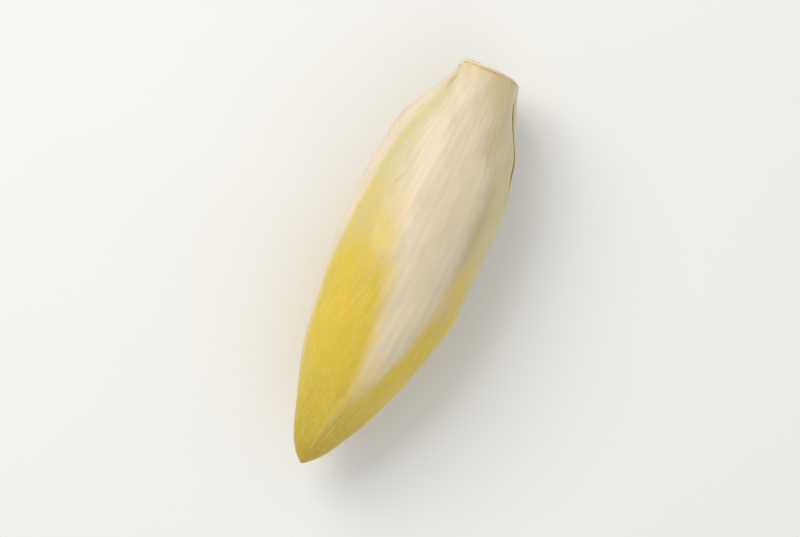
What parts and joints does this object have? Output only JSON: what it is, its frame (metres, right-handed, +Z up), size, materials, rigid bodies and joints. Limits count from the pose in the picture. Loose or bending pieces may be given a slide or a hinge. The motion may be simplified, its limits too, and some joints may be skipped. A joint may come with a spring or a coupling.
{
  "type": "belgian endive",
  "caption": "Whole Belgian endive head lying on its side: a tapered bud of pale leaves wrapped in a spiral round a short cone-shaped stem with a cut face.",
  "frame": {"origin": "on the surface the head rests on, under the middle of the head's bounding box", "axes": "+X runs along the head from the cut stem to the leaf tips, +Z is up and +Y is across the head"},
  "size_m": [0.1387, 0.0461, 0.0446],
  "materials": {
    "outer_leaf": "satin leaf skin, cream rib with yellow blades",
    "middle_leaf": "satin leaf skin, cream rib with yellow blades",
    "heart_leaf": "satin leaf skin, pale yellow",
    "heart_bud": "satin leaf skin, pale yellow",
    "stem": "matt cut stem, slightly browned at the cut"
  },
  "bodies": {
    "root": {"outer_leaf_1": "outer_leaf", "outer_leaf_2": "outer_leaf", "outer_leaf_3": "outer_leaf", "outer_leaf_4": "outer_leaf", "outer_leaf_5": "outer_leaf", "outer_leaf_6": "outer_leaf", "middle_leaf_1": "middle_leaf", "middle_leaf_2": "middle_leaf", "middle_leaf_3": "middle_leaf", "middle_leaf_4": "middle_leaf", "middle_leaf_5": "middle_leaf", "middle_leaf_6": "middle_leaf", "middle_leaf_7": "middle_leaf", "middle_leaf_8": "middle_leaf", "heart_leaf_1": "heart_leaf", "heart_leaf_2": "heart_leaf", "heart_leaf_3": "heart_leaf", "heart_leaf_4": "heart_leaf", "heart_leaf_5": "heart_leaf", "heart_bud": "heart_bud", "stem": "stem"}
  },
  "joints": []
}
